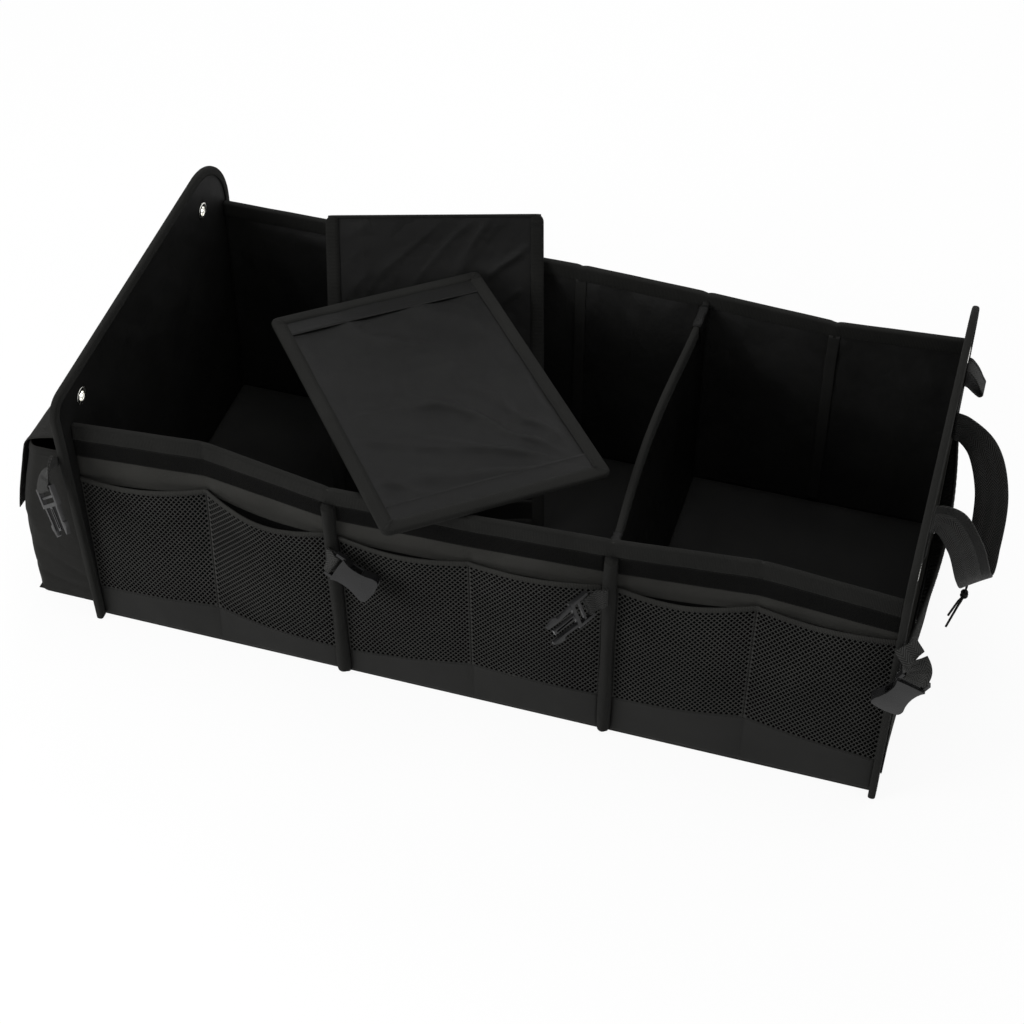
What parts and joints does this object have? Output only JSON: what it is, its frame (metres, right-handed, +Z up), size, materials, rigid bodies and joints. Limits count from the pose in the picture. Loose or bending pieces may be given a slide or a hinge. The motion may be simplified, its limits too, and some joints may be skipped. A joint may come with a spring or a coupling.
{
  "type": "car trunk organizer",
  "caption": "Long open-topped fabric organizer with stiff walls, loose and fitted dividers, mesh pockets, a covered end pocket, straps with half buckles and a carry handle.",
  "frame": {"origin": "middle of the underside of the base, on the floor it stands on", "axes": "+X along the box to the end with the handle, +Y to the back wall, +Z up"},
  "size_m": [1.0758, 0.522, 0.366],
  "materials": {
    "oxford": "matt coated plain weave",
    "lining": "smooth lining over board",
    "nylon": "smooth fabric with a soft sheen",
    "tape": "ribbed edge binding",
    "hook": "hook and loop tape",
    "net": "knitted diamond mesh",
    "webbing": "woven webbing",
    "plastic": "moulded, satin",
    "steel": "plated",
    "cord": "braided cord"
  },
  "bodies": {
    "organizer": {"base_skin": "oxford", "base_board_left": "lining", "base_board_middle": "lining", "base_board_right": "lining", "front_wall_left": "oxford", "front_wall_middle": "oxford", "front_wall_right": "oxford", "front_top_binding": "tape", "back_wall_left": "oxford", "back_wall_middle": "oxford", "back_wall_right": "oxford", "back_top_binding": "tape", "front_rib_left": "tape", "front_rib_right": "tape", "back_rib_left": "tape", "back_rib_right": "tape", "hook_strip_left": "hook", "hook_strip_middle": "hook", "hook_strip_right": "hook", "mesh_pocket_left": "net", "mesh_pocket_middle": "net", "mesh_pocket_right": "net", "lower_band_left": "nylon", "lower_band_middle": "nylon", "lower_band_right": "nylon", "pocket_binding_left": "tape", "pocket_binding_middle": "tape", "pocket_binding_right": "tape", "end_wall_left": "oxford", "end_wall_right": "oxford", "end_binding_left": "tape", "end_binding_right": "tape", "eyelet_left_front": "steel", "eyelet_left_back": "steel", "eyelet_right_front": "steel", "eyelet_right_back": "steel", "divider": "nylon", "divider_binding": "tape", "loose_divider_leaning": "nylon", "loose_divider_leaning_binding": "tape", "loose_divider_lying": "nylon", "loose_divider_lying_binding": "tape", "cargo_pocket": "oxford", "cargo_flap": "oxford", "net_pocket": "net", "net_pocket_hem": "tape", "drawcord": "cord", "cord_lock_body": "plastic", "cord_lock_spring": "steel", "carry_handle": "webbing", "strap_left_corner": "webbing", "strap_left_rib": "webbing", "strap_right_rib": "webbing", "strap_right_corner": "webbing", "back_tab": "webbing"},
    "lock_button": {"cord_lock_button": "plastic"},
    "left_corner_buckle": {"buckle_left_corner": "plastic"},
    "left_rib_buckle": {"buckle_left_rib": "plastic"},
    "right_rib_buckle": {"buckle_right_rib": "plastic"},
    "right_corner_buckle": {"buckle_right_corner": "plastic"}
  },
  "joints": [
    {"name": "cord_lock_press", "type": "slide", "parent": "organizer", "child": "lock_button", "axis": [0, 0, -1], "range_m": [0, 0.0035], "stiffness_N_per_m": 600, "springref_m": -0.002, "deforming": ["cord_lock_spring"]},
    {"name": "left_corner_swing", "type": "hinge", "parent": "organizer", "child": "left_corner_buckle", "pos_m": [-0.459, -0.261, 0.237], "axis": [-0.7146, 0.2804, -0.6409], "range_deg": [-5, 60]},
    {"name": "left_rib_swing", "type": "hinge", "parent": "organizer", "child": "left_rib_buckle", "pos_m": [-0.142, -0.244, 0.202], "axis": [-0.4661, -0.1065, -0.8783], "range_deg": [-4, 60]},
    {"name": "right_rib_swing", "type": "hinge", "parent": "organizer", "child": "right_rib_buckle", "pos_m": [0.134, -0.241, 0.222], "axis": [-0.2979, -0.063, 0.9525], "range_deg": [-25, 45]},
    {"name": "right_corner_swing", "type": "hinge", "parent": "organizer", "child": "right_corner_buckle", "pos_m": [0.468, -0.25, 0.227], "axis": [-0.8556, -0.1732, 0.4878], "range_deg": [-4, 60]}
  ]
}
